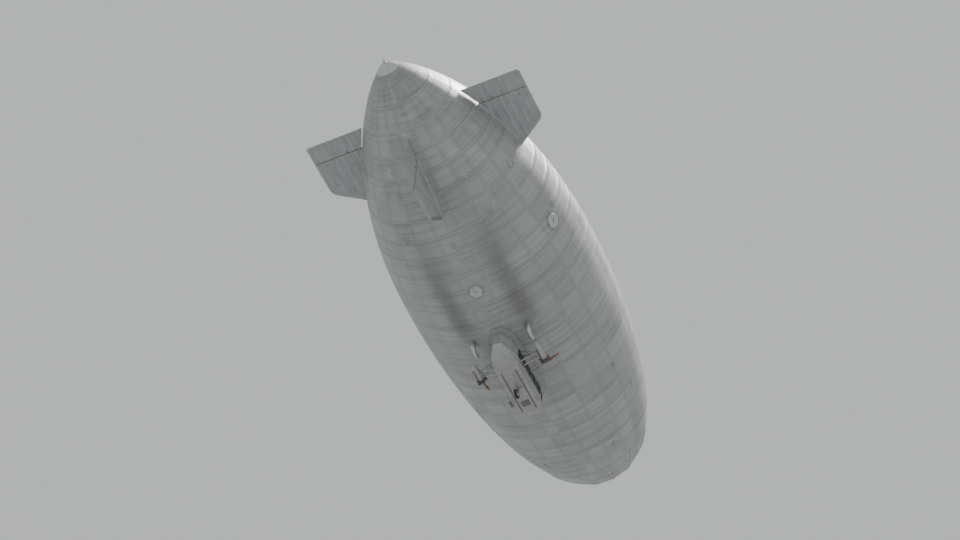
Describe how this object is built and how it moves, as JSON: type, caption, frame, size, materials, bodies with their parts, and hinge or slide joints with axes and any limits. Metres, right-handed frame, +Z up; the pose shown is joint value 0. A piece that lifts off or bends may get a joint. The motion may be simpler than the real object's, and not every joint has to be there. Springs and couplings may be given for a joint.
{
  "type": "small non-rigid airship",
  "caption": "Small fat airship: silver envelope, cross of braced fins with hinged rudders and elevators, closed car with engines on outriggers and a landing wheel.",
  "frame": {"origin": "on the envelope's axis at its fullest section, close to the centre of buoyancy", "axes": "+Z up, the nose towards -Y, port +X"},
  "size_m": [13.52, 32.88, 14.87],
  "materials": {
    "envelope_fabric": "aluminium-doped rubberised cotton, satin, weathered",
    "fin_fabric": "doped cotton stretched over ribs, satin",
    "bare_metal": "weathered sheet",
    "car_paint": "silver paint, satin",
    "steel": "painted and worn steel tube",
    "engine_metal": "dark heat-stained castings",
    "wood": "varnished",
    "leather": "worn",
    "glass": "clear",
    "panel_black": "matt black crackle",
    "tyre_rubber": "dusty"
  },
  "bodies": {
    "hull": {"envelope": "envelope_fabric", "nose_battens": "bare_metal", "nose_cone": "bare_metal", "tail_cap": "envelope_fabric", "fin_top": "fin_fabric", "fin_starboard": "fin_fabric", "fin_bottom": "fin_fabric", "fin_port": "fin_fabric", "car_body": "car_paint", "car_fairing": "car_paint", "car_floor": "wood", "glass_front": "glass", "glass_port": "glass", "glass_starboard": "glass", "pilot_seat_port": "leather", "pilot_seat_starboard": "leather", "bench_seat": "leather", "instrument_panel": "panel_black", "elevator_wheel": "wood", "rudder_wheel": "wood", "handrail_port": "steel", "handrail_starboard": "steel", "nacelle_port": "car_paint", "nacelle_starboard": "car_paint", "engine_port": "engine_metal", "engine_starboard": "engine_metal", "outrigger_port": "steel", "outrigger_starboard": "steel", "air_scoop_port": "bare_metal", "air_scoop_starboard": "bare_metal", "landing_leg": "steel", "gas_valve": "bare_metal", "air_valve": "bare_metal"},
    "top_rudder": {"rudder_top": "fin_fabric"},
    "bottom_rudder": {"rudder_bottom": "fin_fabric"},
    "port_elevator": {"elevator_port": "fin_fabric"},
    "starboard_elevator": {"elevator_starboard": "fin_fabric"},
    "door": {"car_door": "car_paint", "glass_door": "glass"},
    "port_propeller": {"propeller_port": "wood"},
    "starboard_propeller": {"propeller_starboard": "wood"},
    "fork": {"wheel_fork": "steel"},
    "wheel": {"wheel_rim": "bare_metal", "tyre": "tyre_rubber"}
  },
  "joints": [
    {"name": "rudder_top_hinge", "type": "hinge", "parent": "hull", "child": "top_rudder", "pos_m": [0, 11.65, 4.4], "axis": [0, 0, 1], "range_deg": [-25, 25]},
    {"name": "rudder_bottom_hinge", "type": "hinge", "parent": "hull", "child": "bottom_rudder", "pos_m": [0, 11.65, -5], "axis": [0, 0, 1], "range_deg": [-25, 25]},
    {"name": "elevator_port_hinge", "type": "hinge", "parent": "hull", "child": "port_elevator", "pos_m": [5, 11.65, 0], "axis": [1, 0, 0], "range_deg": [-25, 25]},
    {"name": "elevator_starboard_hinge", "type": "hinge", "parent": "hull", "child": "starboard_elevator", "pos_m": [-5, 11.65, 0], "axis": [1, 0, 0], "range_deg": [-25, 25]},
    {"name": "door_hinge", "type": "hinge", "parent": "hull", "child": "door", "pos_m": [0.76, -3.655, -7.1], "axis": [0, 0, -1], "range_deg": [0, 95]},
    {"name": "propeller_port_spin", "type": "hinge", "parent": "hull", "child": "port_propeller", "pos_m": [2, -2.03, -7], "axis": [0, -1, 0], "continuous": true},
    {"name": "propeller_starboard_spin", "type": "hinge", "parent": "hull", "child": "starboard_propeller", "pos_m": [-2, -2.03, -7], "axis": [0, -1, 0], "continuous": true},
    {"name": "fork_swivel", "type": "hinge", "parent": "hull", "child": "fork", "pos_m": [0, -2.5, -8.2], "axis": [0, 0, 1], "continuous": true},
    {"name": "wheel_spin", "type": "hinge", "parent": "fork", "child": "wheel", "pos_m": [0, -2.38, -8.59], "axis": [1, 0, 0], "continuous": true}
  ]
}
